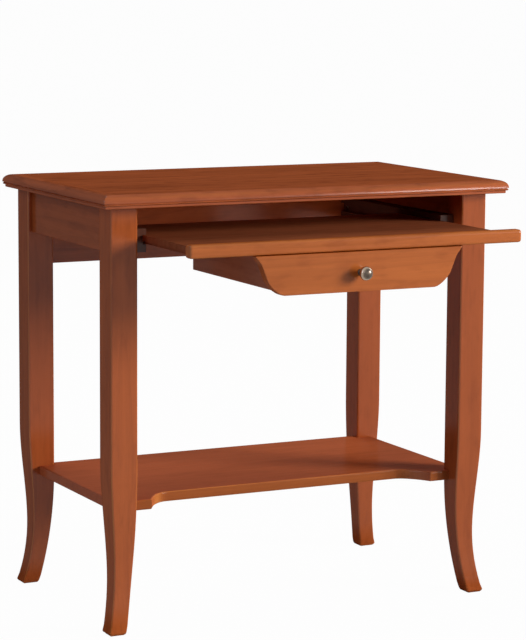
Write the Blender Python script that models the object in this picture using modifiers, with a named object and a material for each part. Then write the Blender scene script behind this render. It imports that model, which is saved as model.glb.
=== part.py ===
"""Compact writing desk: moulded top, sabre legs, lower shelf, pull-out tray with a drawer hung under it.

Metres, +Z up. The front faces -Y and +X is to the right of someone who faces it. The tray stands drawn out,
and the origin is on the floor, in the middle of the whole outline with the tray out.
"""

import math

import bmesh
import bpy
from mathutils import Matrix, Vector

# Driving dimensions: the whole desk
HEIGHT = 0.762
TOP_WIDTH = 0.790
TOP_DEPTH = 0.477
OVERHANG_SIDE = 0.027
OVERHANG_FRONT = 0.0355
OVERHANG_BACK = 0.0085

# The moulded edge of the top, from its upper face down
TOP_THICKNESS = 0.0232
TOP_CORNER = 0.003
NOSE_REACH = 0.016
QUIRK_DEPTH = 0.0026
QUIRK_HEIGHT = 0.0015
BEAD_HEIGHT = 0.0030
BEAD_BULGE = 0.0018
FILLET_INSET = 0.0048
FILLET_HEIGHT = 0.0050
FILLET_CHAMFER = 0.0008

# Legs: a square post, straight above and swept in and out again below
LEG = 0.0503
LEG_EDGE = 0.0040
FOOT = 0.0335
FOOT_CHAMFER = 0.0050
FOOT_KICK = 0.0059
OUTER_CURVE_TOP = 0.302
WAIST_HEIGHT = 0.117
WAIST_INSET = 0.0096
INNER_CURVE_TOP = 0.217

# Rails round the frame
APRON_THICKNESS = 0.018
APRON_INSET = 0.0085
SIDE_APRON_HEIGHT = 0.0791
BACK_APRON_HEIGHT = 0.1408
FRONT_RAIL_THICKNESS = 0.0108
FRONT_RAIL_DEPTH = 0.040
FRONT_RAIL_SETBACK = 0.080

# Lower shelf
SHELF_HEIGHT = 0.2264
SHELF_THICKNESS = 0.018
SHELF_EDGE = 0.003
SHELF_SIDE_INSET = 0.020
SHELF_END_INSET = 0.030
SHELF_EAR = 0.0388
SHELF_COVE_WIDTH = 0.051
SHELF_RECESS = 0.047

# Tray
KEYBOARD_CLEARANCE = 0.0343
TRAY_FRONT_HEIGHT = 0.0223
TRAY_FRONT_THICKNESS = 0.020
TRAY_FRONT_CLEARANCE = 0.0017
TRAY_FRONT_ROUND = 0.005
TRAY_THICKNESS = 0.0154
TRAY_PANEL_DEPTH = 0.370
TRAY_OUT = 0.2046
TRAY_SPARE_TRAVEL = 0.012

# Grooved runners that carry the tray
RUNNER_WEB = 0.0209
RUNNER_LIP = 0.007
RUNNER_LIP_ABOVE = 0.0107
RUNNER_LIP_BELOW = 0.0135
RUNNER_FRONT_CLEARANCE = 0.0085
SLIDE_CLEARANCE = 0.0005
PEG_RADIUS = 0.0025
PEG_STANDS = 0.0045
PEG_FLOOR = 0.0035
PEG_FROM_END = 0.010

# Drawer
DRAWER_GAP = 0.0013
DRAWER_FRONT_HEIGHT = 0.0675
DRAWER_FRONT_THICKNESS = 0.018
DRAWER_FRONT_TOP_WIDTH = 0.394
DRAWER_FRONT_SHOULDER_WIDTH = 0.3706
DRAWER_FRONT_FLARE_HEIGHT = 0.0155
DRAWER_FRONT_HIP_WIDTH = 0.349
DRAWER_FRONT_HIP_HEIGHT = 0.0254
DRAWER_FRONT_FOOT_WIDTH = 0.285
DRAWER_SIDE_RISE = 0.0045
DRAWER_HEADROOM = 0.0083
DRAWER_SIDE_THICKNESS = 0.012
DRAWER_BACK_THICKNESS = 0.012
DRAWER_BOTTOM_THICKNESS = 0.004
DRAWER_BOTTOM_RISE = 0.006
DRAWER_BOTTOM_TONGUE = 0.005

# Fixed case sides under the tray, with strips on which the drawer runs
CASE_WIDTH = 0.288
CASE_DEPTH = 0.340
CASE_RISE = 0.0035
CASE_SIDE_THICKNESS = 0.016
STRIP_HEIGHT = 0.009
STRIP_DROP = 0.024
STRIP_REACH = 0.0065
STRIP_SUNK = 0.004
DRAWER_CLEARANCE = 0.0004
DRAWER_STOP_WIDTH = 0.060
DRAWER_STOP_DEPTH = 0.015
DRAWER_STOP_SETBACK = 0.0527
DRAWER_STOP_CATCH = 0.006

# Knob, turned, with a screw from inside the drawer
KNOB_RISE = 0.0325
KNOB_DIAMETER = 0.024
KNOB_CROWN_HEIGHT = 0.0095
KNOB_UNDER_HEIGHT = 0.0061
KNOB_NECK_DIAMETER = 0.0095
KNOB_NECK_LENGTH = 0.0082
KNOB_BASE_DIAMETER = 0.0128
KNOB_BASE_HEIGHT = 0.0018
KNOB_BASE_SLOPE = 0.0012
KNOB_SCREW_BITE = 0.011
KNOB_SCREW_SUNK = 0.001

# Screws and dowels
SCREW_RADIUS = 0.0020
SCREW_HEAD_RADIUS = 0.0040
SCREW_HEAD_RIM = 0.0005
SCREW_POINT = 0.004
RUNNER_SCREW_BITE = 0.018
RUNNER_SCREW_SUNK = 0.003
RAIL_SCREW_BITE = 0.010
RAIL_SCREW_SUNK = 0.001
RAIL_SCREW_SPACING = 0.400
DOWEL_RADIUS = 0.004
SHELF_DOWEL_LENGTH = 0.030
CASE_DOWEL_BITE = 0.009
CASE_DOWEL_ABOVE_STRIP = 0.003
CASE_DOWEL_SPACING = 0.240

# Small shared values
GAP = 0.0003
CUT_PAST = 0.010
EDGE = 0.0010
SHARP_ANGLE = 40
ROUND_STEPS = 16
KNOB_STEPS = 40

# Derived places in the desk's own frame: Y = 0 is midway between the front and back legs
LEG_X = TOP_WIDTH / 2 - OVERHANG_SIDE
LEG_Y = (TOP_DEPTH - OVERHANG_FRONT - OVERHANG_BACK) / 2
INNER_X = LEG_X - LEG
INNER_Y = LEG_Y - LEG
TOP_BACK = LEG_Y + OVERHANG_BACK
TOP_FRONT = -LEG_Y - OVERHANG_FRONT
TOP_UNDERSIDE = HEIGHT - TOP_THICKNESS
UNDER_TOP = TOP_UNDERSIDE - GAP

APRON_INNER_X = LEG_X - APRON_INSET - APRON_THICKNESS
BACK_APRON_FRONT = LEG_Y - APRON_INSET - APRON_THICKNESS
FRONT_RAIL_UNDERSIDE = UNDER_TOP - FRONT_RAIL_THICKNESS

TRAY_FRONT_TOP = FRONT_RAIL_UNDERSIDE - KEYBOARD_CLEARANCE
TRAY_UNDERSIDE = TRAY_FRONT_TOP - TRAY_FRONT_HEIGHT
TRAY_SURFACE = TRAY_UNDERSIDE + TRAY_THICKNESS
TRAY_FRONT_FACE = -LEG_Y - TRAY_OUT
TRAY_PANEL_FRONT = TRAY_FRONT_FACE + TRAY_FRONT_THICKNESS + GAP
TRAY_PANEL_BACK = TRAY_PANEL_FRONT + TRAY_PANEL_DEPTH

GROOVE_FLOOR = INNER_X - GAP - RUNNER_WEB
TRAY_EDGE = GROOVE_FLOOR - SLIDE_CLEARANCE
RUNNER_INNER = GROOVE_FLOOR - RUNNER_LIP
RUNNER_FRONT = -LEG_Y + TRAY_FRONT_THICKNESS + RUNNER_FRONT_CLEARANCE
RUNNER_BACK = BACK_APRON_FRONT - GAP
PEG_Y = RUNNER_FRONT + PEG_FROM_END
PEG_X = TRAY_EDGE - PEG_RADIUS - GAP

DRAWER_FRONT_TOP = TRAY_UNDERSIDE - DRAWER_GAP
DRAWER_FRONT_BOTTOM = DRAWER_FRONT_TOP - DRAWER_FRONT_HEIGHT
DRAWER_BOX_FRONT = TRAY_FRONT_FACE + DRAWER_FRONT_THICKNESS + GAP
DRAWER_BOX_BACK = DRAWER_BOX_FRONT + CASE_DEPTH
UNDER_TRAY = TRAY_UNDERSIDE - GAP
CASE_BOTTOM = DRAWER_FRONT_BOTTOM + CASE_RISE
CASE_INNER = CASE_WIDTH / 2 - CASE_SIDE_THICKNESS
STRIP_TOP = UNDER_TRAY - STRIP_DROP
STRIP_TIP = CASE_INNER - STRIP_REACH
DRAWER_SIDE_BOTTOM = DRAWER_FRONT_BOTTOM + DRAWER_SIDE_RISE
DRAWER_SIDE_TOP = TRAY_UNDERSIDE - DRAWER_HEADROOM
DRAWER_OUTER_X = CASE_INNER - DRAWER_CLEARANCE
DRAWER_INNER_X = DRAWER_OUTER_X - DRAWER_SIDE_THICKNESS
DRAWER_BACK_FRONT = DRAWER_BOX_BACK - DRAWER_BACK_THICKNESS
DRAWER_FLOOR_UNDERSIDE = DRAWER_SIDE_BOTTOM + DRAWER_BOTTOM_RISE
KNOB_HEIGHT = DRAWER_FRONT_BOTTOM + KNOB_RISE

KNOB_BASE_TOP = KNOB_BASE_HEIGHT + KNOB_BASE_SLOPE
KNOB_REACH = KNOB_BASE_TOP + KNOB_NECK_LENGTH + KNOB_UNDER_HEIGHT + KNOB_CROWN_HEIGHT
KNOB_TIP = TRAY_FRONT_FACE - GAP - KNOB_REACH
ORIGIN_Y = (KNOB_TIP + TOP_BACK) / 2

# Colours as they look in the photograph, with roughness and metallic value
CHERRY = ((0.44, 0.15, 0.058), 0.34, 0.0)
CHERRY_LIGHT = ((0.48, 0.165, 0.062), 0.32, 0.0)
CHERRY_SHADE = ((0.36, 0.12, 0.050), 0.38, 0.0)
HARDWOOD = ((0.46, 0.27, 0.14), 0.55, 0.0)
NICKEL = ((0.42, 0.40, 0.37), 0.30, 1.0)
STEEL = ((0.55, 0.55, 0.55), 0.35, 1.0)


# Scene and small helpers


def clear_scene():
    """Remove what the file held before."""
    for old in list(bpy.data.objects):
        bpy.data.objects.remove(old, do_unlink=True)


def new_collection(name):
    collection = bpy.data.collections.new(name)
    bpy.context.scene.collection.children.link(collection)
    return collection


def new_empty(name, place, parent=None):
    """An empty that carries a group of pieces, at a place in the desk's frame."""
    empty = bpy.data.objects.new(name, None)
    PARTS.objects.link(empty)
    empty.location = place
    bpy.context.view_layer.update()
    if parent:
        attach(empty, parent)
    return empty


def attach(child, parent):
    """Parent an object and keep it where it stands."""
    child.parent = parent
    child.matrix_parent_inverse = parent.matrix_world.inverted()
    bpy.context.view_layer.update()


def finish_material(name, finish):
    colour, roughness, metallic = finish
    material = bpy.data.materials.new(name + "_finish")
    material.use_nodes = True
    shader = material.node_tree.nodes["Principled BSDF"]
    shader.inputs["Base Color"].default_value = (*colour, 1.0)
    shader.inputs["Roughness"].default_value = roughness
    shader.inputs["Metallic"].default_value = metallic
    return material


def mesh_object(name, bm, collection):
    mesh = bpy.data.meshes.new(name)
    bm.to_mesh(mesh)
    bm.free()
    obj = bpy.data.objects.new(name, mesh)
    collection.objects.link(obj)
    return obj


def finish_part(obj, finish, parent):
    """Give a piece its own material and hang it on its carrier."""
    obj.data.materials.append(finish_material(obj.name, finish))
    attach(obj, parent)
    return obj


def shade_round(obj):
    """Shade round faces smooth and keep the real edges sharp."""
    obj.data.shade_smooth()
    obj.data.set_sharp_from_angle(angle=math.radians(SHARP_ANGLE))


def ease_edges(obj, width, angle=50, segments=2):
    """Round the edges that are sharper than the angle."""
    bevel = obj.modifiers.new("eased_edges", "BEVEL")
    bevel.width = width
    bevel.segments = segments
    bevel.limit_method = "ANGLE"
    bevel.angle_limit = math.radians(angle)
    bevel.use_clamp_overlap = True


def box_mesh(low, high):
    """A cube primitive stretched between two corners, about its own middle."""
    size = Vector(high) - Vector(low)
    bm = bmesh.new()
    bmesh.ops.create_cube(bm, size=1.0, matrix=Matrix.Diagonal((*size, 1.0)))
    return bm


def box(name, low, high, finish, parent, edge=EDGE, segments=2):
    obj = mesh_object(name, box_mesh(low, high), PARTS)
    obj.location = (Vector(low) + Vector(high)) / 2
    if edge:
        ease_edges(obj, edge, segments=segments)
    return finish_part(obj, finish, parent)


def as_cutter(obj, parent):
    obj.hide_render = True
    obj.display_type = "WIRE"
    attach(obj, parent)
    return obj


def box_cutter(name, low, high, parent):
    obj = mesh_object(name, box_mesh(low, high), CUTTERS)
    obj.location = (Vector(low) + Vector(high)) / 2
    return as_cutter(obj, parent)


def cut(part, cutter):
    """Take the cutter's volume out of a piece."""
    boolean = part.modifiers.new("cut_" + cutter.name, "BOOLEAN")
    boolean.operation = "DIFFERENCE"
    boolean.solver = "EXACT"
    boolean.object = cutter


def turned(name, profile, steps, collection):
    """A profile of (radius, height) points, from the top down, turned about its own Z axis."""
    bm = bmesh.new()
    verts = [bm.verts.new((radius, 0.0, height)) for radius, height in profile]
    for first, second in zip(verts, verts[1:]):
        bm.edges.new((first, second))
    obj = mesh_object(name, bm, collection)
    screw = obj.modifiers.new("turn", "SCREW")
    screw.axis = "Z"
    screw.angle = math.tau
    screw.steps = steps
    screw.render_steps = steps
    screw.use_merge_vertices = True
    screw.merge_threshold = 0.00001
    bpy.context.view_layer.update()
    evaluated = obj.evaluated_get(bpy.context.evaluated_depsgraph_get())
    solid = bpy.data.meshes.new_from_object(evaluated)
    obj.modifiers.clear()
    obj.data = solid
    shade_round(obj)
    return obj


def aim(obj, place, direction):
    """Stand an object at a place with its Z axis along a direction."""
    obj.location = place
    obj.rotation_euler = Vector(direction).to_track_quat("Z", "Y").to_euler()
    bpy.context.view_layer.update()


def flat_outline(name, points, thickness):
    """A closed outline of (x, y) corner points as a flat curve, made a mesh of the given thickness."""
    curve = bpy.data.curves.new(name + "_outline", "CURVE")
    curve.dimensions = "2D"
    curve.fill_mode = "BOTH"
    curve.extrude = thickness / 2
    spline = curve.splines.new("POLY")
    spline.points.add(len(points) - 1)
    for target, (x, y) in zip(spline.points, points):
        target.co = (x, y, 0.0, 1.0)
    spline.use_cyclic_u = True
    guide = bpy.data.objects.new(name + "_outline", curve)
    bpy.context.scene.collection.objects.link(guide)
    bpy.context.view_layer.update()
    evaluated = guide.evaluated_get(bpy.context.evaluated_depsgraph_get())
    mesh = bpy.data.meshes.new_from_object(evaluated)
    bpy.data.objects.remove(guide, do_unlink=True)
    bm = bmesh.new()
    bm.from_mesh(mesh)
    bpy.data.meshes.remove(mesh)
    bmesh.ops.remove_doubles(bm, verts=bm.verts, dist=0.000001)
    bmesh.ops.dissolve_limit(bm, angle_limit=0.001, verts=bm.verts, edges=bm.edges)
    bmesh.ops.recalc_face_normals(bm, faces=bm.faces)
    return bm


def mirrored(half):
    """A right-hand outline from bottom to top, completed by its mirror image in X."""
    return half + [(-x, y) for x, y in reversed(half)]


def bezier(start, first_handle, second_handle, end, steps):
    """Points along one cubic curve, without its start."""
    points = []
    for step in range(1, steps + 1):
        t = step / steps
        weights = ((1 - t) ** 3, 3 * t * (1 - t) ** 2, 3 * t * t * (1 - t), t**3)
        knots = (start, first_handle, second_handle, end)
        points.append(tuple(sum(w * knot[axis] for w, knot in zip(weights, knots)) for axis in (0, 1)))
    return points


# Screws and dowels


def screw(name, place, direction, length, sunk, parts, parent):
    """A countersunk screw whose head sits sunk under the face at place, and its clearance hole in each part.

    The direction points out of the head. The point of the screw lies at the given length below the head.
    """
    head_height = SCREW_HEAD_RIM + SCREW_HEAD_RADIUS - SCREW_RADIUS
    profile = [
        (0.0, 0.0),
        (SCREW_HEAD_RADIUS, 0.0),
        (SCREW_HEAD_RADIUS, -SCREW_HEAD_RIM),
        (SCREW_RADIUS, -head_height),
        (SCREW_RADIUS, -length + SCREW_POINT),
        (0.0, -length),
    ]
    out = Vector(direction)
    head = Vector(place) - out * sunk
    obj = turned(name, profile, ROUND_STEPS, PARTS)
    aim(obj, head, out)
    finish_part(obj, STEEL, parent)
    mouth = sunk + 2 * GAP
    hole = [
        (0.0, mouth),
        (SCREW_HEAD_RADIUS + GAP, mouth),
        (SCREW_HEAD_RADIUS + GAP, -SCREW_HEAD_RIM - GAP),
        (SCREW_RADIUS + GAP, -head_height - GAP),
        (SCREW_RADIUS + GAP, -length - GAP),
        (0.0, -length - GAP),
    ]
    cutter = turned(name + "_hole", hole, ROUND_STEPS, CUTTERS)
    aim(cutter, head, out)
    as_cutter(cutter, parent)
    for part in parts:
        cut(part, cutter)
    return obj


def round_pin(name, place, direction, radius, length, finish, parts, parent):
    """A dowel or peg from place along direction, and its hole in each part."""
    profile = [(0.0, length), (radius, length), (radius, 0.0), (0.0, 0.0)]
    obj = turned(name, profile, ROUND_STEPS, PARTS)
    aim(obj, place, direction)
    finish_part(obj, finish, parent)
    wide = radius + GAP
    hole = [(0.0, length + GAP), (wide, length + GAP), (wide, -GAP), (0.0, -GAP)]
    cutter = turned(name + "_hole", hole, ROUND_STEPS, CUTTERS)
    aim(cutter, place, direction)
    as_cutter(cutter, parent)
    for part in parts:
        cut(part, cutter)
    return obj


# Desktop


def edge_profile():
    """(inset, height) points of the moulded edge, from the upper face round to the underside."""
    nose_steps, bead_steps = 8, 5
    fillet_top = TOP_UNDERSIDE + FILLET_HEIGHT
    bead_top = fillet_top + BEAD_HEIGHT
    nose_bottom = bead_top + QUIRK_HEIGHT
    points = []
    for step in range(nose_steps + 1):
        turn = math.pi / 2 * step / nose_steps
        height = nose_bottom + (HEIGHT - nose_bottom) * math.cos(turn)
        points.append((NOSE_REACH * (1 - math.sin(turn)), height))
    points.append((QUIRK_DEPTH, nose_bottom))
    for step in range(bead_steps + 1):
        share = step / bead_steps
        bulge = BEAD_BULGE * math.sin(math.pi * share)
        points.append((QUIRK_DEPTH - bulge, bead_top - BEAD_HEIGHT * share))
    points.append((FILLET_INSET, fillet_top))
    points.append((FILLET_INSET, TOP_UNDERSIDE + FILLET_CHAMFER))
    points.append((FILLET_INSET + FILLET_CHAMFER, TOP_UNDERSIDE))
    return points


def corner_directions():
    """The signs of each corner of the top and the plan directions round it, counter-clockwise."""
    corner_steps = 3
    found = []
    for quarter, signs in enumerate(((1, 1), (-1, 1), (-1, -1), (1, -1))):
        for step in range(corner_steps + 1):
            turn = math.pi / 2 * (quarter + step / corner_steps)
            found.append((signs, (math.cos(turn), math.sin(turn))))
    return found


def make_desktop(frame):
    """The slab is one face, whose rim is extruded from point to point of the moulded profile."""
    smallest_corner = 0.0008
    middle_y = (TOP_FRONT + TOP_BACK) / 2
    corners = corner_directions()

    def place(index, inset, height):
        (sign_x, sign_y), (out_x, out_y) = corners[index]
        radius = max(TOP_CORNER - inset, smallest_corner)
        x = sign_x * (TOP_WIDTH / 2 - inset - radius) + out_x * radius
        y = sign_y * (TOP_DEPTH / 2 - inset - radius) + out_y * radius
        return (x, middle_y + y, height)

    profile = edge_profile()
    bm = bmesh.new()
    number = bm.verts.layers.int.new("corner")
    rim = []
    for index in range(len(corners)):
        vert = bm.verts.new(place(index, *profile[0]))
        vert[number] = index
        rim.append(vert)
    edges = list(bm.faces.new(rim).edges)
    for inset, height in profile[1:]:
        grown = bmesh.ops.extrude_edge_only(bm, edges=edges)["geom"]
        edges = [item for item in grown if isinstance(item, bmesh.types.BMEdge)]
        edges = [edge for edge in edges if edge.is_boundary]
        for vert in {vert for edge in edges for vert in edge.verts}:
            vert.co = place(vert[number], inset, height)
    bmesh.ops.holes_fill(bm, edges=edges)
    bmesh.ops.recalc_face_normals(bm, faces=bm.faces)
    desktop = mesh_object("desktop", bm, PARTS)
    shade_round(desktop)
    return finish_part(desktop, CHERRY_SHADE, frame)


# Legs


def outer_inset(height):
    """How far the outer faces of a leg stand in from its straight upper part."""
    if height >= OUTER_CURVE_TOP:
        return 0.0
    if height >= WAIST_HEIGHT:
        share = (height - WAIST_HEIGHT) / (OUTER_CURVE_TOP - WAIST_HEIGHT)
        return WAIST_INSET * (1 - share * share * (3 - 2 * share))
    return WAIST_INSET - (WAIST_INSET + FOOT_KICK) * (1 - height / WAIST_HEIGHT) ** 2


def inner_face(height):
    """How far the inner faces of a leg stand from its straight outer faces."""
    if height >= INNER_CURVE_TOP:
        return LEG
    return LEG - (LEG - FOOT + FOOT_KICK) * (1 - height / INNER_CURVE_TOP) ** 2


def make_leg(name, sign_x, sign_y, quarter_turns, frame):
    """A square post cut into levels, each drawn in or out by the two curves."""
    level_count = 20
    tall = UNDER_TOP
    bm = bmesh.new()
    bmesh.ops.create_cube(bm, size=1.0, matrix=Matrix.Diagonal((LEG, LEG, tall, 1.0)))
    bmesh.ops.translate(bm, verts=bm.verts, vec=(LEG / 2, LEG / 2, tall / 2))
    for level in range(1, level_count + 1):
        height = OUTER_CURVE_TOP * level / level_count
        everything = bm.verts[:] + bm.edges[:] + bm.faces[:]
        bmesh.ops.bisect_plane(bm, geom=everything, plane_co=(0, 0, height), plane_no=(0, 0, 1))
    for vert in bm.verts:
        near, far = outer_inset(vert.co.z), inner_face(vert.co.z)
        vert.co.x = near if vert.co.x < LEG / 2 else far
        vert.co.y = near if vert.co.y < LEG / 2 else far
    sole = [edge for edge in bm.edges if all(vert.co.z < GAP for vert in edge.verts)]
    bmesh.ops.bevel(bm, geom=sole, offset=FOOT_CHAMFER, segments=2, affect="EDGES", profile=0.5)
    leg = mesh_object(name, bm, PARTS)
    leg.location = (sign_x * LEG_X, sign_y * LEG_Y, 0.0)
    leg.rotation_euler.z = quarter_turns * math.pi / 2
    shade_round(leg)
    ease_edges(leg, LEG_EDGE, segments=3)
    return finish_part(leg, CHERRY, frame)


# Rails


def make_rails(frame):
    box(
        "apron_back",
        (-INNER_X + GAP, BACK_APRON_FRONT, UNDER_TOP - BACK_APRON_HEIGHT),
        (INNER_X - GAP, BACK_APRON_FRONT + APRON_THICKNESS, UNDER_TOP),
        CHERRY_SHADE,
        frame,
    )
    for name, sign in (("left", -1), ("right", 1)):
        faces = sorted((sign * APRON_INNER_X, sign * (APRON_INNER_X + APRON_THICKNESS)))
        box(
            "apron_" + name,
            (faces[0], -INNER_Y + GAP, UNDER_TOP - SIDE_APRON_HEIGHT),
            (faces[1], INNER_Y - GAP, UNDER_TOP),
            CHERRY_SHADE,
            frame,
        )
    front = -LEG_Y + FRONT_RAIL_SETBACK
    return box(
        "front_rail",
        (-APRON_INNER_X + GAP, front, FRONT_RAIL_UNDERSIDE),
        (APRON_INNER_X - GAP, front + FRONT_RAIL_DEPTH, UNDER_TOP),
        CHERRY_SHADE,
        frame,
    )


def make_rail_screws(front_rail, desktop, frame):
    """Two screws up through the front rail hold the top."""
    middle = -LEG_Y + FRONT_RAIL_SETBACK + FRONT_RAIL_DEPTH / 2
    length = FRONT_RAIL_THICKNESS + RAIL_SCREW_BITE - RAIL_SCREW_SUNK
    for name, sign in (("left", -1), ("right", 1)):
        place = (sign * RAIL_SCREW_SPACING / 2, middle, FRONT_RAIL_UNDERSIDE)
        screw("rail_screw_" + name, place, (0, 0, -1), length, RAIL_SCREW_SUNK, [front_rail, desktop], frame)


# Lower shelf


def shelf_outline():
    """Half of the outline from the middle of the front edge to the middle of the back, then mirrored."""
    cove_steps = 10
    side = LEG_X - SHELF_SIDE_INSET
    end = LEG_Y - SHELF_END_INSET
    notch_x = INNER_X - GAP
    notch_y = INNER_Y - GAP
    ear = notch_x - SHELF_EAR
    cove_middle = ear - SHELF_COVE_WIDTH
    half = []
    for step in range(cove_steps + 1):
        share = step / cove_steps
        half.append((cove_middle + SHELF_COVE_WIDTH * share, -end + SHELF_RECESS * (1 - share**2)))
    half += [(notch_x, -end), (notch_x, -notch_y), (side, -notch_y)]
    half += [(side, notch_y), (notch_x, notch_y), (notch_x, end)]
    return mirrored(half)


def make_shelf(frame):
    """The outline's upper and lower rims are rounded, and its upright corners stay sharp."""
    bm = flat_outline("shelf", shelf_outline(), SHELF_THICKNESS)
    rims = [edge for edge in bm.edges if abs(edge.verts[0].co.z - edge.verts[1].co.z) < GAP]
    bmesh.ops.bevel(bm, geom=rims, offset=SHELF_EDGE, segments=3, affect="EDGES", profile=0.5)
    shelf = mesh_object("shelf", bm, PARTS)
    shelf.location.z = SHELF_HEIGHT - SHELF_THICKNESS / 2
    return finish_part(shelf, CHERRY, frame)


def make_shelf_dowels(shelf, legs, frame):
    """One dowel in each corner runs along Y from the shelf's notch into the leg."""
    middle_x = (INNER_X + LEG_X - SHELF_SIDE_INSET) / 2
    for (end, side), leg in legs.items():
        sign_x = -1 if side == "left" else 1
        sign_y = -1 if end == "front" else 1
        start = sign_y * (INNER_Y - SHELF_DOWEL_LENGTH / 2)
        place = (sign_x * middle_x, start, SHELF_HEIGHT - SHELF_THICKNESS / 2)
        name = f"shelf_dowel_{end}_{side}"
        along = (0, sign_y, 0)
        round_pin(name, place, along, DOWEL_RADIUS, SHELF_DOWEL_LENGTH, HARDWOOD, [shelf, leg], frame)


# Runners for the tray


def make_runner(name, sign, frame):
    """A hardwood rail between the legs with a groove for the edge of the tray."""
    low_z = TRAY_UNDERSIDE - SLIDE_CLEARANCE
    high_z = TRAY_SURFACE + SLIDE_CLEARANCE
    faces = sorted((sign * RUNNER_INNER, sign * (INNER_X - GAP)))
    runner = box(
        "runner_" + name,
        (faces[0], RUNNER_FRONT, low_z - RUNNER_LIP_BELOW),
        (faces[1], RUNNER_BACK, high_z + RUNNER_LIP_ABOVE),
        HARDWOOD,
        frame,
    )
    groove = sorted((sign * (RUNNER_INNER - CUT_PAST), sign * GROOVE_FLOOR))
    groove_cutter = box_cutter(
        f"runner_{name}_groove",
        (groove[0], RUNNER_FRONT - CUT_PAST, low_z),
        (groove[1], RUNNER_BACK + CUT_PAST, high_z),
        frame,
    )
    cut(runner, groove_cutter)
    return runner


def make_runner_screws(runner, name, sign, legs, frame):
    """Each runner is screwed through its web into the front and the back leg."""
    height = (TRAY_UNDERSIDE + TRAY_SURFACE) / 2
    length = RUNNER_WEB + RUNNER_SCREW_BITE - RUNNER_SCREW_SUNK
    overlaps = {"front": (RUNNER_FRONT - INNER_Y) / 2, "back": (RUNNER_BACK + INNER_Y) / 2}
    for end, y in overlaps.items():
        place = (sign * GROOVE_FLOOR, y, height)
        parts = [runner, legs[(end, name)]]
        screw(f"runner_screw_{end}_{name}", place, (-sign, 0, 0), length, RUNNER_SCREW_SUNK, parts, frame)


# Tray


def make_tray_panel(tray):
    return box(
        "tray_panel",
        (-TRAY_EDGE, TRAY_PANEL_FRONT, TRAY_UNDERSIDE),
        (TRAY_EDGE, TRAY_PANEL_BACK, TRAY_SURFACE),
        CHERRY,
        tray,
        edge=GAP,
    )


def make_stop_peg(name, sign, runner, tray_panel, frame, tray):
    """A peg stands in the lower lip of the runner, in a stopped rebate under the tray's edge."""
    lip_top = TRAY_UNDERSIDE - SLIDE_CLEARANCE
    sunk = RUNNER_LIP_BELOW - PEG_FLOOR
    place = (sign * PEG_X, PEG_Y, lip_top - sunk)
    length = sunk + SLIDE_CLEARANCE + PEG_STANDS
    round_pin("stop_peg_" + name, place, (0, 0, 1), PEG_RADIUS, length, HARDWOOD, [runner], frame)
    faces = sorted((sign * (PEG_X - PEG_RADIUS - GAP), sign * (TRAY_EDGE + CUT_PAST)))
    rebate = box_cutter(
        f"tray_rebate_{name}",
        (faces[0], TRAY_PANEL_FRONT - CUT_PAST, TRAY_UNDERSIDE - CUT_PAST),
        (faces[1], PEG_Y + PEG_RADIUS + TRAY_SPARE_TRAVEL, TRAY_UNDERSIDE + PEG_STANDS + GAP),
        tray,
    )
    cut(tray_panel, rebate)


def make_tray_front(tray):
    half = INNER_X - TRAY_FRONT_CLEARANCE
    front = box(
        "tray_front",
        (-half, TRAY_FRONT_FACE, TRAY_UNDERSIDE),
        (half, TRAY_FRONT_FACE + TRAY_FRONT_THICKNESS, TRAY_FRONT_TOP),
        CHERRY_LIGHT,
        tray,
        edge=TRAY_FRONT_ROUND,
        segments=4,
    )
    shade_round(front)
    return front


def make_drawer_case(name, sign, tray_panel, tray):
    """A fixed side under the tray, held by two dowels, with a let-in strip that carries the drawer."""
    faces = sorted((sign * CASE_INNER, sign * CASE_WIDTH / 2))
    side = box(
        "drawer_case_" + name,
        (faces[0], DRAWER_BOX_FRONT, CASE_BOTTOM),
        (faces[1], DRAWER_BOX_BACK, UNDER_TRAY),
        CHERRY_SHADE,
        tray,
    )
    strip = sorted((sign * STRIP_TIP, sign * (CASE_INNER + STRIP_SUNK)))
    low = Vector((strip[0], DRAWER_BOX_FRONT, STRIP_TOP - STRIP_HEIGHT))
    high = Vector((strip[1], DRAWER_BOX_BACK, STRIP_TOP))
    box("drawer_strip_" + name, low, high, HARDWOOD, tray, edge=0.0)
    loose = Vector((GAP, CUT_PAST, GAP))
    cut(side, box_cutter(f"drawer_case_{name}_groove", low - loose, high + loose, tray))
    middle_x = sign * (CASE_INNER + CASE_WIDTH / 2) / 2
    middle_y = (DRAWER_BOX_FRONT + DRAWER_BOX_BACK) / 2
    foot = STRIP_TOP + CASE_DOWEL_ABOVE_STRIP
    length = UNDER_TRAY + CASE_DOWEL_BITE - foot
    for end, step in (("front", -1), ("back", 1)):
        place = (middle_x, middle_y + step * CASE_DOWEL_SPACING / 2, foot)
        dowel = f"case_dowel_{end}_{name}"
        round_pin(dowel, place, (0, 0, 1), DOWEL_RADIUS, length, HARDWOOD, [side, tray_panel], tray)


def make_drawer_stop(tray):
    """The drawer's back meets this block at the end of its travel."""
    front = DRAWER_BOX_FRONT + DRAWER_STOP_SETBACK
    box(
        "drawer_stop",
        (-DRAWER_STOP_WIDTH / 2, front, DRAWER_SIDE_TOP - DRAWER_STOP_CATCH),
        (DRAWER_STOP_WIDTH / 2, front + DRAWER_STOP_DEPTH, UNDER_TRAY),
        HARDWOOD,
        tray,
    )


# Drawer


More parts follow.
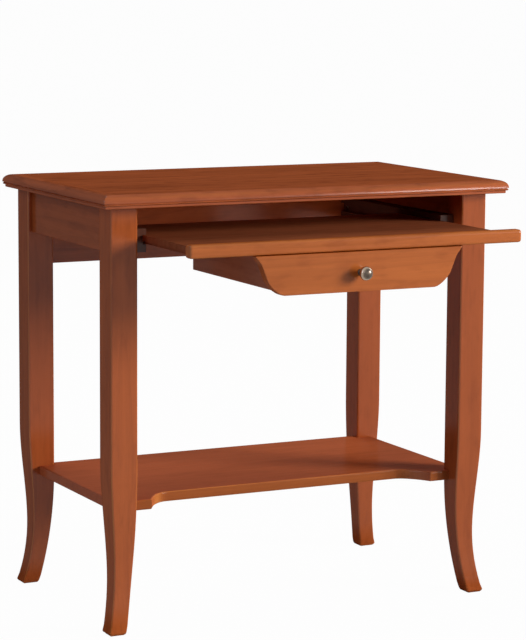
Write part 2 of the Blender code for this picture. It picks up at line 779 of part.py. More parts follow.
def drawer_front_outline():
    """Flat foot, round lower corner, slanting flank and flared top, about the middle of the front's foot."""
    foot = (DRAWER_FRONT_FOOT_WIDTH / 2, 0.0)
    hip = (DRAWER_FRONT_HIP_WIDTH / 2, DRAWER_FRONT_HIP_HEIGHT)
    shoulder = (DRAWER_FRONT_SHOULDER_WIDTH / 2, DRAWER_FRONT_HEIGHT - DRAWER_FRONT_FLARE_HEIGHT)
    tip = (DRAWER_FRONT_TOP_WIDTH / 2, DRAWER_FRONT_HEIGHT)
    flank = (Vector(shoulder) - Vector(hip)) / 3
    toe = (foot[0] + (hip[0] - foot[0]) / 3, 0.0)
    half = [foot]
    half += bezier(foot, toe, tuple(Vector(hip) - flank), hip, 7)
    half += [shoulder]
    flare = (Vector(shoulder) + Vector(tip)) / 2
    half += bezier(shoulder, tuple(Vector(shoulder) + flank / 3), tuple(flare), tip, 3)
    return mirrored(half)


def make_drawer_front(drawer):
    bm = flat_outline("drawer_front", drawer_front_outline(), DRAWER_FRONT_THICKNESS)
    bmesh.ops.rotate(bm, verts=bm.verts, cent=(0, 0, 0), matrix=Matrix.Rotation(math.pi / 2, 3, "X"))
    front = mesh_object("drawer_front", bm, PARTS)
    front.location = (0.0, TRAY_FRONT_FACE + DRAWER_FRONT_THICKNESS / 2, DRAWER_FRONT_BOTTOM)
    ease_edges(front, EDGE)
    return finish_part(front, CHERRY_LIGHT, drawer)


def make_drawer_box(drawer_front, drawer):
    """Two sides, a back and a thin bottom that sits in grooves all round."""
    inner = DRAWER_INNER_X
    parts = [drawer_front]
    for name, sign in (("left", -1), ("right", 1)):
        faces = sorted((sign * inner, sign * DRAWER_OUTER_X))
        side = box(
            "drawer_side_" + name,
            (faces[0], DRAWER_BOX_FRONT, DRAWER_SIDE_BOTTOM),
            (faces[1], DRAWER_BOX_BACK, DRAWER_SIDE_TOP),
            HARDWOOD,
            drawer,
        )
        cut(side, strip_groove(name, sign, drawer))
        parts.append(side)
    parts.append(
        box(
            "drawer_back",
            (-inner + GAP, DRAWER_BACK_FRONT, DRAWER_SIDE_BOTTOM),
            (inner - GAP, DRAWER_BOX_BACK, DRAWER_SIDE_TOP),
            HARDWOOD,
            drawer,
        )
    )
    reach = DRAWER_BOTTOM_TONGUE
    floor_top = DRAWER_FLOOR_UNDERSIDE + DRAWER_BOTTOM_THICKNESS
    low = Vector((-inner - reach, DRAWER_BOX_FRONT - reach, DRAWER_FLOOR_UNDERSIDE))
    high = Vector((inner + reach, DRAWER_BACK_FRONT + reach, floor_top))
    box("drawer_bottom", low, high, HARDWOOD, drawer, edge=0.0)
    loose = Vector((GAP, GAP, GAP))
    groove = box_cutter("drawer_bottom_groove", low - loose, high + loose, drawer)
    for part in parts:
        cut(part, groove)


def strip_groove(name, sign, drawer):
    """The groove along a drawer side that runs on the strip of its case side."""
    faces = sorted((sign * (STRIP_TIP - DRAWER_CLEARANCE), sign * (DRAWER_OUTER_X + CUT_PAST)))
    return box_cutter(
        f"drawer_side_{name}_groove",
        (faces[0], DRAWER_BOX_FRONT - CUT_PAST, STRIP_TOP - STRIP_HEIGHT - DRAWER_CLEARANCE),
        (faces[1], DRAWER_BOX_BACK + CUT_PAST, STRIP_TOP + DRAWER_CLEARANCE),
        drawer,
    )


def knob_profile():
    """(radius, height) points of the knob from the middle of its face round to the end of its bore."""
    head, neck, base = KNOB_DIAMETER / 2, KNOB_NECK_DIAMETER / 2, KNOB_BASE_DIAMETER / 2
    widest = KNOB_REACH - KNOB_CROWN_HEIGHT
    dome_steps, under_steps = 6, 4
    points = []
    for step in range(dome_steps + 1):
        turn = math.pi / 2 * step / dome_steps
        points.append((head * math.sin(turn), widest + KNOB_CROWN_HEIGHT * math.cos(turn)))
    for step in range(1, under_steps + 1):
        turn = math.pi / 2 * step / under_steps
        radius = neck + (head - neck) * math.cos(turn)
        points.append((radius, widest - KNOB_UNDER_HEIGHT * math.sin(turn)))
    points += [(neck, KNOB_BASE_TOP), (base, KNOB_BASE_HEIGHT), (base, 0.0)]
    bore = SCREW_RADIUS + GAP
    return points + [(bore, 0.0), (bore, KNOB_SCREW_BITE + GAP), (0.0, KNOB_SCREW_BITE + GAP)]


def make_knob(drawer_front, drawer):
    knob = turned("knob", knob_profile(), KNOB_STEPS, PARTS)
    aim(knob, (0.0, TRAY_FRONT_FACE - GAP, KNOB_HEIGHT), (0, -1, 0))
    finish_part(knob, NICKEL, drawer)
    length = DRAWER_FRONT_THICKNESS + GAP + KNOB_SCREW_BITE - KNOB_SCREW_SUNK
    place = (0.0, TRAY_FRONT_FACE + DRAWER_FRONT_THICKNESS, KNOB_HEIGHT)
    screw("knob_screw", place, (0, 1, 0), length, KNOB_SCREW_SUNK, [drawer_front], drawer)


# The whole desk


def make_desk():
    desk = new_empty("desk", (0, 0, 0))
    tray = new_empty("tray", (0, TRAY_FRONT_FACE, TRAY_UNDERSIDE), desk)
    drawer = new_empty("drawer", (0, TRAY_FRONT_FACE, DRAWER_FRONT_BOTTOM), tray)

    desktop = make_desktop(desk)
    legs = {
        ("front", "left"): make_leg("leg_front_left", -1, -1, 0, desk),
        ("front", "right"): make_leg("leg_front_right", 1, -1, 1, desk),
        ("back", "right"): make_leg("leg_back_right", 1, 1, 2, desk),
        ("back", "left"): make_leg("leg_back_left", -1, 1, 3, desk),
    }
    front_rail = make_rails(desk)
    make_rail_screws(front_rail, desktop, desk)
    make_shelf_dowels(make_shelf(desk), legs, desk)

    tray_panel = make_tray_panel(tray)
    make_tray_front(tray)
    for name, sign in (("left", -1), ("right", 1)):
        runner = make_runner(name, sign, desk)
        make_runner_screws(runner, name, sign, legs, desk)
        make_stop_peg(name, sign, runner, tray_panel, desk, tray)
        make_drawer_case(name, sign, tray_panel, tray)
    make_drawer_stop(tray)

    drawer_front = make_drawer_front(drawer)
    make_drawer_box(drawer_front, drawer)
    make_knob(drawer_front, drawer)

    desk.location.y = -ORIGIN_Y
    bpy.context.view_layer.update()


clear_scene()
PARTS = new_collection("writing_desk")
CUTTERS = new_collection("writing_desk_cutters")
make_desk()
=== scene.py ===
# %% [markdown]
# A compact writing desk in cherry-stained wood. A shallow tray is drawn out from under the top, and a small
# drawer with a shaped front hangs under that tray. The solids come ready made from the packed part, so this
# lesson is about dressing them: a camera, the finishes, a finely turned knob, and a plain studio.

# %% Load the desk
import math

import bpy
from mathutils import Matrix, Vector


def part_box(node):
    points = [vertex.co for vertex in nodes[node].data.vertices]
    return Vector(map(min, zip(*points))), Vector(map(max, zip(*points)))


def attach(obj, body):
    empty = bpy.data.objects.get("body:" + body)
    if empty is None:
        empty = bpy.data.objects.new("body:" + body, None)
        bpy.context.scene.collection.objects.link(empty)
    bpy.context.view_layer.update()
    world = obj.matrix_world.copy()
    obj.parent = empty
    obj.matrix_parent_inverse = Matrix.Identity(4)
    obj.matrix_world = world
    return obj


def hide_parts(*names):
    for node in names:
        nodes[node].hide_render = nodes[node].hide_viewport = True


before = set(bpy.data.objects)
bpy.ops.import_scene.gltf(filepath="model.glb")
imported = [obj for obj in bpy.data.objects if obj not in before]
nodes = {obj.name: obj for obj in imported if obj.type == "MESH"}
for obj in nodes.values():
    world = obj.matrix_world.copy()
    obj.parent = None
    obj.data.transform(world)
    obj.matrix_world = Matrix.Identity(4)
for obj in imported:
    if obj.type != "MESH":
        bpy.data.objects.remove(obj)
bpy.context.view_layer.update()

# %% [markdown]
# The camera stands to the left of the desk and a little above its top. Its place and its focal length were
# solved from the straight edges of the real desk, so the legs, top and shelf line up with no lens shift.
# Three angles and a point are enough: the camera's axes are worked out from them and set as one matrix.

# %% Camera
IMAGE_HEIGHT = 640
SENSOR = 36.0
FOCAL_PIXELS = 2520.22
CAMERA_PLACE = Vector((-2.0173, -3.9812, 1.1527))
CAMERA_YAW, CAMERA_PITCH, CAMERA_ROLL = 0.4633, -0.1423, 0.0063


def camera_axes(yaw, pitch, roll):
    """The camera's right, up and backward directions."""
    forward = Vector((math.sin(yaw) * math.cos(pitch), math.cos(yaw) * math.cos(pitch), math.sin(pitch)))
    level = Vector((math.cos(yaw), -math.sin(yaw), 0.0))
    above = level.cross(forward)
    right = math.cos(roll) * level + math.sin(roll) * above
    up = math.cos(roll) * above - math.sin(roll) * level
    return right, up, -forward


lens = bpy.data.cameras.new("desk_camera")
lens.sensor_width = SENSOR
lens.lens = FOCAL_PIXELS / IMAGE_HEIGHT * SENSOR
camera = bpy.data.objects.new("desk_camera", lens)
bpy.context.scene.collection.objects.link(camera)
turn = Matrix(camera_axes(CAMERA_YAW, CAMERA_PITCH, CAMERA_ROLL)).transposed()
camera.matrix_world = Matrix.Translation(CAMERA_PLACE) @ turn.to_4x4()
bpy.context.scene.camera = camera
print("lens of", round(lens.lens, 2), "mm")

# %% [markdown]
# A finish is a small network of nodes. Written out link by link it is hard to read, so one class wraps an
# output socket and lets Python's own signs add the Math nodes: 1 - mask, or streaks * 0.3 + tone.

# %% Wires
class Wire:
    """An output socket that can be used in sums."""

    def __init__(self, finish, socket):
        self.finish = finish
        self.socket = socket

    def sum(self, operation, first, second):
        return self.finish.math(operation, first, second)

    def __add__(self, other):
        return self.sum("ADD", self, other)

    def __radd__(self, other):
        return self.sum("ADD", other, self)

    def __sub__(self, other):
        return self.sum("SUBTRACT", self, other)

    def __rsub__(self, other):
        return self.sum("SUBTRACT", other, self)

    def __mul__(self, other):
        return self.sum("MULTIPLY", self, other)

    def __rmul__(self, other):
        return self.sum("MULTIPLY", other, self)

    def __pow__(self, other):
        return self.sum("POWER", self, other)


print("wires understand + - * **")

# %% [markdown]
# A second class holds the material. Its node method adds any kind of node: the settings come first, because
# they can change which sockets a node has, and then each socket gets a value or a wire. The other methods
# are short names for the nodes that a finish needs again and again.

# %% Finishes
class Finish:
    """A node tree: any node is added by its type, its settings, and the values or wires of its sockets."""

    def __init__(self, owner):
        self.owner = owner
        owner.use_nodes = True
        self.tree = owner.node_tree

    def node(self, kind, settings, sockets, output=0):
        made = self.tree.nodes.new(kind)
        for key, value in settings.items():
            setattr(made, key, value)
        self.fill(made, sockets)
        return Wire(self, made.outputs[output])

    def fill(self, made, sockets):
        for key, value in sockets.items():
            if isinstance(value, Wire):
                self.tree.links.new(value.socket, made.inputs[key])
            else:
                made.inputs[key].default_value = value

    def own(self, kind):
        """A node that the tree had from the start."""
        return next(node for node in self.tree.nodes if node.type == kind)

    def math(self, operation, *values):
        return self.node("ShaderNodeMath", {"operation": operation}, dict(enumerate(values)))

    def read(self, coordinates):
        return self.node("ShaderNodeTexCoord", {}, {}, coordinates)

    def split(self, vector):
        return [self.node("ShaderNodeSeparateXYZ", {}, {0: vector}, axis) for axis in "XYZ"]

    def mapped(self, place, shift, scale):
        return self.node("ShaderNodeMapping", {}, {"Vector": place, "Location": shift, "Scale": scale})

    def mixed(self, share, first, second):
        """A colour between two others, each of which is a wire or three numbers."""
        colours = [side if isinstance(side, Wire) else (*side, 1.0) for side in (first, second)]
        sockets = {0: share, 6: colours[0], 7: colours[1]}
        return self.node("ShaderNodeMix", {"data_type": "RGBA"}, sockets, 2)

    def noise(self, place, detail, roughness=0.5, output="Fac"):
        sockets = {"Vector": place, "Scale": 1.0, "Detail": detail, "Roughness": roughness}
        return self.node("ShaderNodeTexNoise", {}, sockets, output)

    def above(self, value, low, high):
        """0 under low, 1 over high, and a straight climb between them."""
        sockets = {"Value": value, "From Min": low, "From Max": high, "To Min": 0.0, "To Max": 1.0}
        return self.node("ShaderNodeMapRange", {"clamp": True}, sockets)


print("a finish can:", ", ".join(name for name in vars(Finish) if not name.startswith("_")))

# %% [markdown]
# Cherry is a fine, even wood: soft growth bands, hair-thin fibres, a few short dark flecks, and a stain
# that takes a little unevenly. Each of these is noise in the piece's own coordinates, squeezed along the
# board so that it runs with the grain. Because the squeeze is on one axis only, the ends of a board show
# end grain.

# %% Grain
# Repeats in a metre along the grain and across it, then how many finer layers are added, and how strongly.
PATTERNS = {
    "drift": (0.9, 3.5, 1.0, 0.5),
    "cloud": (3.0, 9.0, 2.0, 0.5),
    "field": (0.6, 8.0, 1.0, 0.5),
    "streak": (1.8, 75.0, 3.0, 0.6),
    "mottle": (20.0, 58.0, 2.0, 0.5),
    "fibre": (5.0, 420.0, 3.0, 0.6),
    "fleck": (17.0, 130.0, 2.0, 0.5),
    "pores": (45.0, 1500.0, 1.0, 0.5),
}
# Marks that only show where their noise is high.
MARKS = {"mottle": (0.52, 0.74), "fleck": (0.60, 0.74), "pores": (0.62, 0.72)}
SWAY = (0.02, 0.02, 0.02)
BAND_COUNT, BAND_FALL = 13.0, 2.5


def pattern(finish, place, grain, shift, name, output="Fac"):
    """One noise that runs long in the direction of the grain."""
    lengthwise, across, detail, roughness = PATTERNS[name]
    scale = [across, across, across]
    scale["XYZ".index(grain)] = lengthwise
    return finish.noise(finish.mapped(place, shift, scale), detail, roughness, output)


def figure_of(finish, place, grain, shift):
    """All the patterns of one board, by name. The finer ones sway together, as fibres do."""
    drift = pattern(finish, place, grain, shift, "drift", "Color")
    bent = finish.node("ShaderNodeVectorMath", {"operation": "MULTIPLY_ADD"}, {0: drift, 1: SWAY, 2: place})
    wood = {"cloud": pattern(finish, place, grain, shift, "cloud")}
    for name in ("field", "streak", "mottle", "fibre", "fleck", "pores"):
        wood[name] = pattern(finish, bent, grain, shift, name)
    for name, (low, high) in MARKS.items():
        wood[name] = finish.above(wood[name], low, high)
    wood["bands"] = finish.math("FRACT", wood["field"] * BAND_COUNT) ** BAND_FALL
    return wood


print("grain patterns:", ", ".join(PATTERNS))

# %% [markdown]
# The real top has a lip at each end, a strip whose grain crosses that of the board, and the two meet in a
# mitre. The strips could be pieces of their own. They are flush, though, so it is enough to swap the two
# coordinates of the grain wherever a point is nearer to an end of the top than to its front or back.

# %% Mitred lips
TOP_LIP = 0.030


def lipped(finish, place, node, width):
    """Coordinates of a board whose two ends carry a mitred lip: there the grain runs from front to back."""
    low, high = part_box(node)
    parts = finish.split(place)
    from_edge = []
    for axis in (0, 1):
        middle, half = (low[axis] + high[axis]) / 2, (high[axis] - low[axis]) / 2
        from_edge.append(half - finish.math("ABSOLUTE", parts[axis] - middle))
    on_end = finish.math("LESS_THAN", from_edge[0], width)
    mitre = finish.math("LESS_THAN", from_edge[0], from_edge[1])
    crossed = finish.node("ShaderNodeCombineXYZ", {}, {0: parts[1], 1: parts[0], 2: parts[2]})
    sockets = {0: on_end * mitre, 4: place, 5: crossed}
    return finish.node("ShaderNodeMix", {"data_type": "VECTOR"}, sockets, 1)


print("lips of", TOP_LIP * 1000, "mm at both ends of the top")

# %% [markdown]
# Eased edges catch the light in a thin golden line, and here that line is a painted highlight: a golden
# colour laid over the stain. A painted mask could mark those edges, but the direction of the surface
# already tells them apart: on a flat face it lies along one axis, and on an eased edge it lies half-way
# between two. The same direction finds the front edge of the shelf, which gets a darker, browner colour
# than its upper face.

# %% Painted edge highlights and darker front edges
# The colour of the golden painted highlight on eased edges.
EDGE_HIGHLIGHT_COLOUR = (0.72, 0.245, 0.058)
# How far a surface has turned where such an edge starts to show, and where it shows fully.
EDGE_TURN = (0.05, 0.25)
EDGE_AHEAD = (0.2, 0.4)
FRONT_AHEAD = (0.5, 0.85)


def eased(finish):
    """1 where a front or back face turns half-way to another one, as on the eased edge of a board."""
    turned = finish.node("ShaderNodeVectorMath", {"operation": "ABSOLUTE"}, {0: finish.read("Normal")})
    sizes = finish.split(turned)
    largest = finish.math("MAXIMUM", finish.math("MAXIMUM", sizes[0], sizes[1]), sizes[2])
    return finish.above(1.0 - largest, *EDGE_TURN) * finish.above(sizes[1], *EDGE_AHEAD)


def front_edge(finish):
    """1 where a face looks to the front."""
    return finish.above(0.0 - finish.split(finish.read("Normal"))[1], *FRONT_AHEAD)


print("rubbed edges show the colour", EDGE_HIGHLIGHT_COLOUR)

# %% [markdown]
# The patterns add up to one tone, which will slide a board's colour between a deep and a pale stain. The
# lacquer over it is the shader's coat. A plain coat would mirror the white surroundings at low angles and
# wash the wood out, so its weight falls off there. It is dull at the feet, too, which brooms and shoes
# scuff.

# %% Tone and lacquer
FOOT_SCUFF = 0.05
COAT_WEIGHT, COAT_DRIFT, COAT_FALL = 0.55, 0.2, 1.8


def tone_of(wood, figure):
    """0 where the board is deep, 1 where it is pale."""
    lines = wood["streak"] - wood["bands"] * 0.2 - wood["mottle"] * 0.35
    fine = wood["fibre"] * 0.3 - wood["fleck"] * 0.2 - wood["pores"] * 0.15
    return (0.03 - 0.40 * figure) + wood["cloud"] * 0.8 + lines * figure + fine


def lacquer_of(finish, wood, place, scuff):
    """The weight of the coat, which fades out below the height of the scuff."""
    facing = finish.node("ShaderNodeLayerWeight", {}, {"Blend": 0.5}, "Facing")
    lacquer = (COAT_WEIGHT + wood["fibre"] * COAT_DRIFT) * (1.0 - facing) ** COAT_FALL
    if scuff:
        lacquer = lacquer * finish.above(finish.split(place)[2], 0.3 * scuff, scuff)
    return lacquer


print("lacquer is dull below", FOOT_SCUFF * 1000, "mm")

# %% [markdown]
# Now the board itself. Its colour, roughness, lacquer and fine relief change from place to place, so they
# are wired, and every other setting of the shader is one plain number. The painted edge highlight comes
# last, over the stain.

# %% Boards
COAT_ROUGHNESS = 0.18
EDGE_DULLING = 0.7
# Where the cloud of the grain lets the painted edge highlight show, from none to full.
HIGHLIGHT_PATCHES = (0.30, 0.65)
RELIEF_STRENGTH, RELIEF_DEPTH = 0.12, 0.0004


def timber(name, grain, stain, shift, gloss, figure, lip=None, edge=None, scuff=0.0, rubbed=0.0):
    """A lacquered board. The stain is a pale and a deep colour, gloss the mean roughness, and figure says how
    strongly streaks, bands and mottles show. A lip is a node and a width, edge the darker colour of the front
    edge, scuff the height under which the lacquer is dull, and the last argument how strongly a golden
    painted highlight shows on eased edges."""
    finish = Finish(bpy.data.materials.new(name))
    place = finish.read("Object")
    if lip:
        place = lipped(finish, place, *lip)
    wood = figure_of(finish, place, grain, shift)
    tone = tone_of(wood, figure)
    colour = finish.mixed(tone, stain[1], stain[0])
    lacquer = lacquer_of(finish, wood, place, scuff)
    # Faces that look to the front get a darker, browner colour of their own, and less lacquer.
    if edge:
        front = front_edge(finish)
        colour = finish.mixed(front, colour, finish.mixed(tone, edge[1], edge[0]))
        lacquer = lacquer * (1.0 - front * EDGE_DULLING)
    # A golden painted highlight on eased edges, in patches that follow the cloud of the grain.
    if rubbed:
        drift_and_painted_light = finish.above(wood["cloud"], *HIGHLIGHT_PATCHES) * eased(finish) * rubbed
        colour = finish.mixed(drift_and_painted_light, colour, EDGE_HIGHLIGHT_COLOUR)
    height = wood["fibre"] * 0.6 + wood["bands"] * 0.3 - wood["pores"] * 0.8
    sockets = {"Strength": RELIEF_STRENGTH, "Distance": RELIEF_DEPTH, "Height": height}
    relief = finish.node("ShaderNodeBump", {}, sockets)
    finish.fill(finish.own("BSDF_PRINCIPLED"), {
        "Base Color": colour,
        "Roughness": gloss - 0.06 + wood["fibre"] * 0.12 + wood["pores"] * 0.1,
        "Specular IOR Level": 0.0,
        "Coat Weight": lacquer,
        "Coat Roughness": COAT_ROUGHNESS,
        "Normal": relief,
    })
    return finish.owner


print("boards have a coat of roughness", COAT_ROUGHNESS)

# %% [markdown]
# One stain, many boards: every plank takes it a little differently, and the front left leg is given a paler
# colour than the others. The tray panel is darker, a painted shadow over the whole panel. The case sides are
# paler and cooler, painted cool light for the shade under the tray. The runners are darker, partly a dark
# wood of their own and partly painted shade inside the desk. Each stain below is its pale and its deep end.
# The shift moves each board to another place in the noise, so that no two finishes show the same figure.

# %% Stains
CHERRY = (0.47, 0.107, 0.0268), (0.288, 0.060, 0.0148)
PALE_LEG = (0.57, 0.132, 0.0305), (0.33, 0.069, 0.0168)
FRONT = (0.59, 0.154, 0.031), (0.42, 0.100, 0.019)
TOP = (0.54, 0.126, 0.036), (0.32, 0.069, 0.019)
SHELF = (0.58, 0.138, 0.046), (0.39, 0.085, 0.027)
# The shelf's front edge: a darker, browner colour than its upper face.
SHELF_EDGE = (0.47, 0.128, 0.033), (0.31, 0.078, 0.020)
# The case sides: paler and cooler than cherry, painted cool light of the shade they stand in.
CASE_PAINTED_COOL_LIGHT = (0.62, 0.205, 0.090), (0.42, 0.125, 0.052)
# The tray panel: darker than cherry, a painted shadow over the whole panel.
PANEL_PAINTED_SHADOW = (0.38, 0.108, 0.042), (0.25, 0.066, 0.025)
INNER = (0.52, 0.33, 0.18), (0.36, 0.20, 0.10)
# The runners: dark, partly a dark wood of their own and partly painted shade inside the desk.
RUNNER_DARK_AND_SHADED = (0.14, 0.054, 0.034), (0.085, 0.032, 0.020)
# The legs' lacquer is dull at the feet, and their eased edges carry the painted highlight.
LEG_SCUFF_AND_HIGHLIGHT = {"scuff": FOOT_SCUFF, "rubbed": 0.75}
# Direction of the grain, stain, shift, gloss, figure, and what else is special.
BOARDS = {
    "cherry_top": ("X", TOP, (0.0, 0.0, 0.0), 0.36, 1.4, {"lip": ("desktop", TOP_LIP), "rubbed": 0.2}),
    "cherry_front": ("X", FRONT, (3.1, 1.7, 0.4), 0.40, 1.3, {"rubbed": 0.6}),
    "cherry_rail": ("X", CHERRY, (7.3, 2.2, 5.1), 0.42, 1.0, {}),
    "cherry_shelf": ("X", SHELF, (1.9, 6.4, 2.8), 0.40, 0.5, {"edge": SHELF_EDGE, "rubbed": 0.75}),
    "cherry_leg": ("Z", CHERRY, (6.9, 3.4, 8.8), 0.40, 0.7, LEG_SCUFF_AND_HIGHLIGHT),
    "cherry_leg_pale": ("Z", PALE_LEG, (6.6, 7.0, 5.4), 0.40, 0.7, LEG_SCUFF_AND_HIGHLIGHT),
    "cherry_side": ("Y", CHERRY, (5.5, 0.8, 9.7), 0.42, 1.0, {}),
    "cherry_case": ("Y", CASE_PAINTED_COOL_LIGHT, (9.2, 1.4, 4.8), 0.42, 1.0, {}),
    "cherry_panel": ("X", PANEL_PAINTED_SHADOW, (6.1, 5.7, 0.9), 0.42, 1.0, {}),
    "runner_stain": ("Y", RUNNER_DARK_AND_SHADED, (0.6, 2.9, 7.7), 0.50, 1.0, {}),
    "inner_long": ("Y", INNER, (2.7, 4.1, 6.6), 0.50, 1.0, {}),
    "inner_cross": ("X", INNER, (8.4, 3.9, 1.2), 0.50, 1.0, {}),
}
finishes = {}
for board, (*common, special) in BOARDS.items():
    finishes[board] = timber(board, *common, **special)
print("timbers:", ", ".join(finishes))

# %% [markdown]
# The knob is antique nickel and the screws are zinc-plated steel. Handled metal is never even, so its
# roughness and its colour both drift a little over the surface. On the knob the middle of the crown, out to
# the turned groove, is painted dark and the rim bright: a painted reflection, dark in the middle and bright
# on the rim. Both follow the distance from the knob's axis.

# %% Metals
SMUDGE_SCALE = (160, 160, 160)
SMUDGE_RANGE = (0.35, 0.7)
# How much of the knob's colour is the painted reflection of its middle and rim.
PAINTED_REFLECTION_SHARE = 0.7
knob_low, knob_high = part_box("knob")
KNOB_AXIS = ((knob_low[0] + knob_high[0]) / 2, (knob_low[2] + knob_high[2]) / 2)
KNOB_RADIUS = (knob_high[0] - knob_low[0]) / 2
KNOB_REACH = knob_high[1] - knob_low[1]
GROOVE_RADIUS = 0.70 * KNOB_RADIUS


def metal(name, bright, dull, smooth, rough, painted_reflection=False):
    """A metal whose colour and roughness drift between two values."""
    finish = Finish(bpy.data.materials.new(name))
    place = finish.read("Object")
    smudge = finish.noise(finish.mapped(place, (0.0, 0.0, 0.0), SMUDGE_SCALE), 3.0)
    drift_and_painted_light = finish.above(smudge, *SMUDGE_RANGE)
    # On the knob, a painted reflection: dark inside the groove's radius and bright on the rim outside it.
    if painted_reflection:
        out = finish.mapped(place, (-KNOB_AXIS[0], 0.0, -KNOB_AXIS[1]), (1.0, 0.0, 1.0))
        radius = finish.node("ShaderNodeVectorMath", {"operation": "LENGTH"}, {0: out}, "Value")
        painted_dark_middle = 1.0 - finish.above(radius, 0.9 * GROOVE_RADIUS, 1.2 * GROOVE_RADIUS)
        drift_and_painted_light = drift_and_painted_light * (1.0 - PAINTED_REFLECTION_SHARE) + PAINTED_REFLECTION_SHARE * painted_dark_middle
    finish.fill(finish.own("BSDF_PRINCIPLED"), {
        "Base Color": finish.mixed(drift_and_painted_light, bright, dull),
        "Metallic": 1.0,
        "Roughness": smooth + drift_and_painted_light * (rough - smooth),
    })
    return finish.owner


# The nickel's dark colour is mostly the painted dark middle of the knob's crown, and partly smudges.
finishes["nickel"] = metal("nickel", (0.44, 0.34, 0.255), (0.048, 0.036, 0.030), 0.17, 0.30, True)
finishes["steel"] = metal("steel", (0.62, 0.62, 0.60), (0.48, 0.47, 0.45), 0.30, 0.45)
print("metals: nickel, steel; knob radius", round(KNOB_RADIUS * 1000, 2), "mm")

# %% [markdown]
# Every board gets the finish whose grain runs along its own length, as a joiner would cut it: up the legs,
# from side to side in the top, shelf and fronts, and from front to back in the aprons and runners. The
# names of the pieces start with what they are, so a list of such words is enough to find each one's finish.

# %% Dress the pieces
PEGS = ("stop_peg_", "shelf_dowel_", "case_dowel_")
WORN_BY = {
    "cherry_top": ("desktop",),
    "cherry_front": ("tray_front", "drawer_front"),
    "cherry_rail": ("front_rail", "apron_back"),
    "cherry_panel": ("tray_panel",),
    "cherry_shelf": ("shelf",),
    "cherry_leg": ("leg_",),
    "cherry_leg_pale": ("leg_front_left",),
    "cherry_side": ("apron_left", "apron_right"),
    "cherry_case": ("drawer_case_",),
    "runner_stain": ("runner_left", "runner_right"),
    "inner_long": ("drawer_strip_", "drawer_side_"),
    "inner_cross": ("drawer_back", "drawer_bottom", "drawer_stop", *PEGS),
    "nickel": ("knob",),
    "steel": ("runner_screw_", "rail_screw_", "knob_screw"),
}


def finish_for(node):
    """The finish whose longest matching word starts the node's name."""
    starts = [(word, finish) for finish, words in WORN_BY.items() for word in words]
    found = [(len(word), finish) for word, finish in starts if node.startswith(word)]
    return max(found)[1]


for node_name, piece in nodes.items():
    piece.data.materials.clear()
    piece.data.materials.append(finishes[finish_for(node_name)])
print("dressed", len(nodes), "pieces")

# %% [markdown]
# The knob is turned on a lathe: a small flange against the drawer, a waisted neck, and a mushroom head with
# a fine groove round its crown. A turner works to a template, and so does this cell: a list of heights
# above the drawer front and radii, most of them on quarters of ellipses.

# %% Lathe template
FLANGE_RADIUS, FLANGE_HEIGHT, FLANGE_ROUND = 0.0064, 0.0018, 0.0010
NECK_RADIUS, NECK_FOOT, NECK_TOP = 0.00475, 0.0034, 0.0112
CROWN_HEIGHT = 0.0095
GROOVE_DEPTH, GROOVE_WIDTH = 0.0006, 0.0009
CROWN_TIP = 0.00002
ROUND_STEPS, NECK_STEPS, HEAD_STEPS, CROWN_STEPS = 4, 4, 8, 28


def quarter(start, end, steps, out_first):
    """Heights and radii on a quarter of an ellipse between two points of the template, without its start."""
    points = []
    for step in range(1, steps + 1):
        early = math.sin(math.pi / 2 * step / steps)
        late = 1.0 - math.cos(math.pi / 2 * step / steps)
        rise, spread = (late, early) if out_first else (early, late)
        points.append((start[0] + (end[0] - start[0]) * rise, start[1] + (end[1] - start[1]) * spread))
    return points


def grooved(height, radius):
    """A point of the crown, lower where the groove runs."""
    dip = math.exp(-(((radius - GROOVE_RADIUS) / GROOVE_WIDTH) ** 2))
    return height - GROOVE_DEPTH * dip, radius


widest = KNOB_REACH - CROWN_HEIGHT
template = [(0.0, FLANGE_RADIUS), (FLANGE_HEIGHT - FLANGE_ROUND, FLANGE_RADIUS)]
template += quarter(template[-1], (FLANGE_HEIGHT, FLANGE_RADIUS - FLANGE_ROUND), ROUND_STEPS, False)
template += quarter(template[-1], (NECK_FOOT, NECK_RADIUS), NECK_STEPS, True)
template += quarter((NECK_TOP, NECK_RADIUS), (widest, KNOB_RADIUS), HEAD_STEPS, True)
crown = quarter((widest, KNOB_RADIUS), (KNOB_REACH, CROWN_TIP), CROWN_STEPS, False)
template += [grooved(*point) for point in crown]
print("template of", len(template), "rings")

# %% [markdown]
# The Spin operator could turn a drawn profile. Extruding one disc again and again, and resizing each new
# ring about the knob's axis, is easier to follow. The last ring is merged to a point, so that the crown is
# closed.

# %% Turned knob
KNOB_SIDES = 64
drawer_face = knob_high[1]
bpy.ops.object.select_all(action="DESELECT")
bpy.ops.mesh.primitive_circle_add(
    vertices=KNOB_SIDES,
    radius=FLANGE_RADIUS,
    fill_type="NGON",
    location=(KNOB_AXIS[0], drawer_face, KNOB_AXIS[1]),
    rotation=(math.pi / 2, 0.0, 0.0),
)
knob = bpy.context.object
knob.name = "knob_turned"
bpy.ops.object.mode_set(mode="EDIT")
bpy.ops.mesh.select_all(action="SELECT")
for (height, radius), (next_height, next_radius) in zip(template, template[1:]):
    bpy.ops.mesh.extrude_region_move(TRANSFORM_OT_translate={"value": (0.0, height - next_height, 0.0)})
    growth = next_radius / radius
    centre = (KNOB_AXIS[0], drawer_face - next_height, KNOB_AXIS[1])
    bpy.ops.transform.resize(value=(growth, 1.0, growth), center_override=centre)
bpy.ops.mesh.merge(type="CENTER")
bpy.ops.mesh.select_all(action="SELECT")
bpy.ops.mesh.remove_doubles(threshold=0.000001)
bpy.ops.mesh.normals_make_consistent(inside=False)
bpy.ops.object.mode_set(mode="OBJECT")
print("knob of", len(knob.data.polygons), "faces, size", [round(v, 4) for v in knob.dimensions])

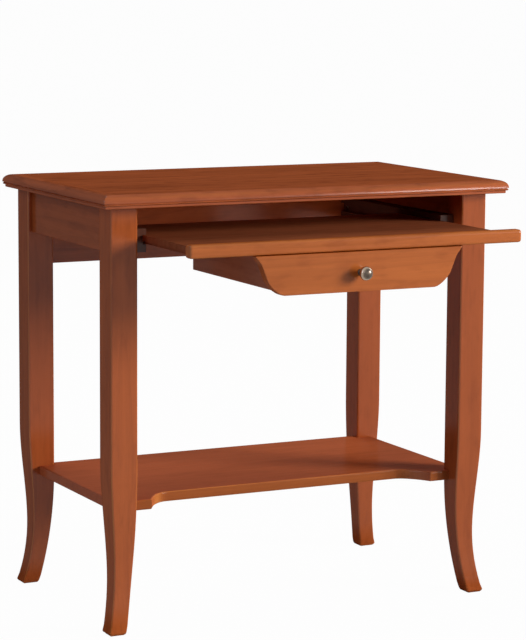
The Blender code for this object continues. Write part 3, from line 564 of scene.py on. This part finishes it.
# %% [markdown]
# A finished piece sits at the origin with its place in its mesh, so the knob's place is applied. It rides
# on the drawer, stands for the plain knob of the packed part, and takes the same finish, nickel.

# %% Fit the knob
SMOOTH_BELOW = math.radians(40)
bpy.ops.object.transform_apply(location=True, rotation=True, scale=True)
bpy.ops.object.shade_smooth_by_angle(angle=SMOOTH_BELOW)
knob.data.materials.append(finishes["nickel"])
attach(knob, "drawer")
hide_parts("knob")
print("knob stands at", [round(v, 4) for v in knob.location], "with its place in the mesh")

# %% [markdown]
# The desk stands on a wide pale floor. To the camera and in reflections the floor should look white, but
# lamps strong enough for that would bleach the wood. So the floor's shader is mixed with a plain white glow
# that only those rays see, and all other light still falls on an ordinary pale surface.

# %% Floor
FLOOR_SIZE = 400.0
FLOOR_DROP = 0.0005
FLOOR_GREY = (0.55, 0.55, 0.55, 1.0)
WHITE = (1.0, 1.0, 1.0, 1.0)
WHITENESS = 0.98
bpy.context.scene.view_settings.view_transform = "Standard"
bpy.ops.object.select_all(action="DESELECT")
bpy.ops.mesh.primitive_plane_add(size=FLOOR_SIZE, location=(0, 0, -FLOOR_DROP))
floor = bpy.context.object
floor.name = "studio_floor"


def seen_directly(finish):
    """1 for a ray from the camera, or one that was mirrored or let through."""
    kinds = ("Is Camera Ray", "Is Glossy Ray", "Is Transmission Ray")
    rays = [finish.node("ShaderNodeLightPath", {}, {}, kind) for kind in kinds]
    settings = {"operation": "ADD", "use_clamp": True}
    return finish.node("ShaderNodeMath", settings, {0: rays[0] + rays[1], 1: rays[2]})


pale = Finish(bpy.data.materials.new("studio_floor"))
surface = pale.own("BSDF_PRINCIPLED")
pale.fill(surface, {"Base Color": FLOOR_GREY, "Roughness": 1.0, "Specular IOR Level": 0.0})
glow = pale.node("ShaderNodeEmission", {}, {"Color": WHITE, "Strength": 1.0})
share = seen_directly(pale) * WHITENESS
white = pale.node("ShaderNodeMixShader", {}, {0: share, 1: Wire(pale, surface.outputs[0]), 2: glow})
pale.fill(pale.own("OUTPUT_MATERIAL"), {"Surface": white})
floor.data.materials.append(pale.owner)
print("floor of", FLOOR_SIZE, "m")

# %% [markdown]
# The sky is treated in the same way: white to the camera and in reflections, and only a weak soft light
# otherwise. A bright sky would fill every shadow and make the wood look flat.

# %% Sky
SKY_LIGHT = 0.02
world = bpy.data.worlds.new("studio_sky")
bpy.context.scene.world = world
sky = Finish(world)
strength = SKY_LIGHT + seen_directly(sky) * (1.0 - SKY_LIGHT)
sky.fill(sky.own("BACKGROUND"), {"Color": WHITE, "Strength": strength})
print("sky light", SKY_LIGHT)

# %% [markdown]
# A strong lamp stands low at the right front, so the tray and the knob throw their shadows to the left. A
# small one nearer the front draws a bright line on the moulding. A cooler lamp fills in from the left, and
# two more at the back lift the top and the far edges. Each lamp is a soft square that looks at the middle
# of the desk.

# %% Lamps
LAMP_DISTANCE = 5.0
LIT_POINT = Vector((0.0, 0.0, 0.45))
NEUTRAL = (1.0, 1.0, 1.0)
# Azimuth from straight in front towards the right, elevation, size in metres, power in watts, colour.
LAMPS = {
    "key_lamp": (51, 16, 1.5, 215, NEUTRAL),
    "edge_lamp": (33, 8, 0.45, 22, NEUTRAL),
    "fill_lamp": (-68, 25, 2.5, 29, (0.95, 0.97, 1.30)),
    "back_lamp": (180, 50, 3.0, 75, NEUTRAL),
    "back_left_lamp": (-135, 30, 3.0, 16, (0.95, 0.97, 1.22)),
}


def lamp(name, azimuth, elevation, size, power, colour):
    """A square soft lamp."""
    light = bpy.data.lights.new(name, "AREA")
    light.size = size
    light.energy = power
    light.color = colour
    holder = bpy.data.objects.new(name, light)
    bpy.context.scene.collection.objects.link(holder)
    side, rise = math.radians(azimuth), math.radians(elevation)
    away = Vector((math.sin(side) * math.cos(rise), -math.cos(side) * math.cos(rise), math.sin(rise)))
    place = LIT_POINT + LAMP_DISTANCE * away
    holder.matrix_world = Matrix.Translation(place) @ away.to_track_quat("Z", "Y").to_matrix().to_4x4()


for lamp_name, settings in LAMPS.items():
    lamp(lamp_name, *settings)
print("lamps:", ", ".join(LAMPS))

# %% [markdown]
# A finish adds no size, and the turned knob reaches no further than the plain one, so the dressed desk
# has the same box as the packed part.
